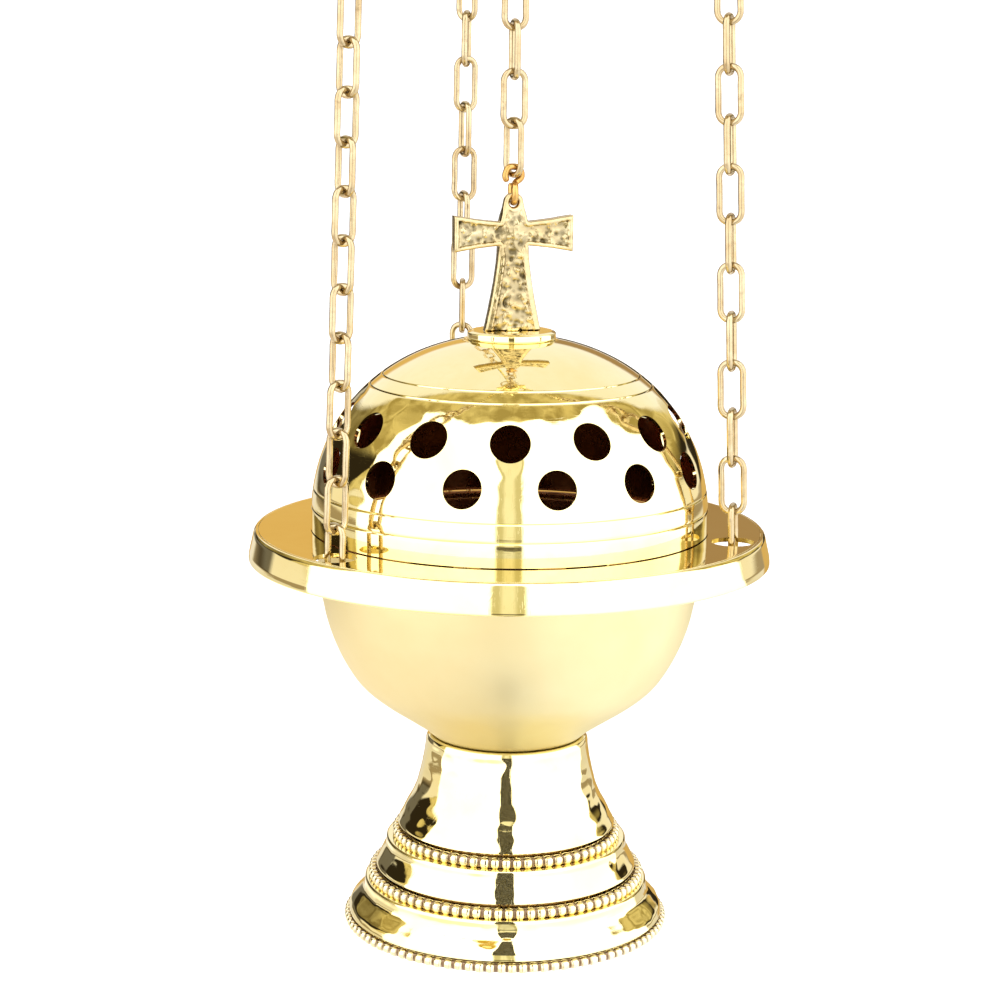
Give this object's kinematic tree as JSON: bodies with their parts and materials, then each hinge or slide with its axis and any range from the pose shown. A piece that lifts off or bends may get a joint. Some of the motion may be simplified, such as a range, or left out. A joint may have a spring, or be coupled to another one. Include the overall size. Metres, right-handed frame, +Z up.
{
  "type": "thurible",
  "caption": "Hanging brass incense censer: a footed fire bowl on chains, with a pierced domed lid that a centre chain lifts by its ring.",
  "frame": {"origin": "inside top of the hanging ring, where a hook or a finger carries the whole censer", "axes": "+Z up along the chains, -Y towards the front face of the cross, +X to the right of the cross seen from the front"},
  "size_m": [0.1746, 0.1746, 0.4947],
  "materials": {
    "hanging_ring": "mirror polished",
    "bail": "mirror polished",
    "spreader": "cast, lightly polished",
    "guide_bush": "mirror polished",
    "bail_pin_right": "mirror polished",
    "bail_pin_left": "mirror polished",
    "chain_1": "drawn wire, bright",
    "chain_2": "drawn wire, bright",
    "chain_3": "drawn wire, bright",
    "chain_lug_1": "cast, lightly polished",
    "chain_lug_2": "cast, lightly polished",
    "chain_lug_3": "cast, lightly polished",
    "bowl": "satin brushed",
    "foot": "mirror polished",
    "bead_ring_lower": "cast, lightly polished",
    "bead_ring_middle": "cast, lightly polished",
    "bead_ring_upper": "cast, lightly polished",
    "foot_bolt": "cast, lightly polished",
    "foot_washer": "cast, lightly polished",
    "foot_nut": "cast, lightly polished",
    "lid_dome": "mirror polished",
    "lid_brim": "mirror polished",
    "lid_band": "mirror polished",
    "lid_spigot": "satin brushed",
    "knop_disc": "mirror polished",
    "cross": "cast, lightly polished",
    "cross_washer": "cast, lightly polished",
    "cross_nut": "cast, lightly polished",
    "cross_hook": "drawn wire, bright",
    "centre_chain": "drawn wire, bright",
    "pull_ring": "drawn wire, bright",
    "fire_pan": "satin brushed"
  },
  "bodies": {
    "hanger": {"hanging_ring": "hanging_ring"},
    "bail": {"bail": "bail"},
    "censer": {"spreader": "spreader", "guide_bush": "guide_bush", "bail_pin_right": "bail_pin_right", "bail_pin_left": "bail_pin_left", "chain_1": "chain_1", "chain_2": "chain_2", "chain_3": "chain_3", "chain_lug_1": "chain_lug_1", "chain_lug_2": "chain_lug_2", "chain_lug_3": "chain_lug_3", "bowl": "bowl", "foot": "foot", "bead_ring_lower": "bead_ring_lower", "bead_ring_middle": "bead_ring_middle", "bead_ring_upper": "bead_ring_upper", "foot_bolt": "foot_bolt", "foot_washer": "foot_washer", "foot_nut": "foot_nut"},
    "lid": {"lid_dome": "lid_dome", "lid_brim": "lid_brim", "lid_band": "lid_band", "lid_spigot": "lid_spigot", "knop_disc": "knop_disc", "cross": "cross", "cross_washer": "cross_washer", "cross_nut": "cross_nut", "cross_hook": "cross_hook", "centre_chain": "centre_chain"},
    "pull_ring": {"pull_ring": "pull_ring"},
    "fire_pan": {"fire_pan": "fire_pan"}
  },
  "joints": [
    {"name": "bail_swing", "type": "hinge", "parent": "hanger", "child": "bail", "pos_m": [0, 0, -0.024], "axis": [0, 1, 0], "range_deg": [-30, 30]},
    {"name": "censer_swing", "type": "hinge", "parent": "bail", "child": "censer", "pos_m": [0, 0, -0.1381], "axis": [1, 0, 0], "range_deg": [-60, 60]},
    {"name": "lid_lift", "type": "slide", "parent": "censer", "child": "lid", "axis": [0, 0, 1], "range_m": [0, 0.06]},
    {"name": "pull_ring_flip", "type": "hinge", "parent": "lid", "child": "pull_ring", "pos_m": [0, 0, -0.1273], "axis": [1, 0, 0], "range_deg": [0, 90]},
    {"name": "fire_pan_lift", "type": "slide", "parent": "censer", "child": "fire_pan", "axis": [0, 0, 1], "range_m": [0, 0.035]}
  ]
}
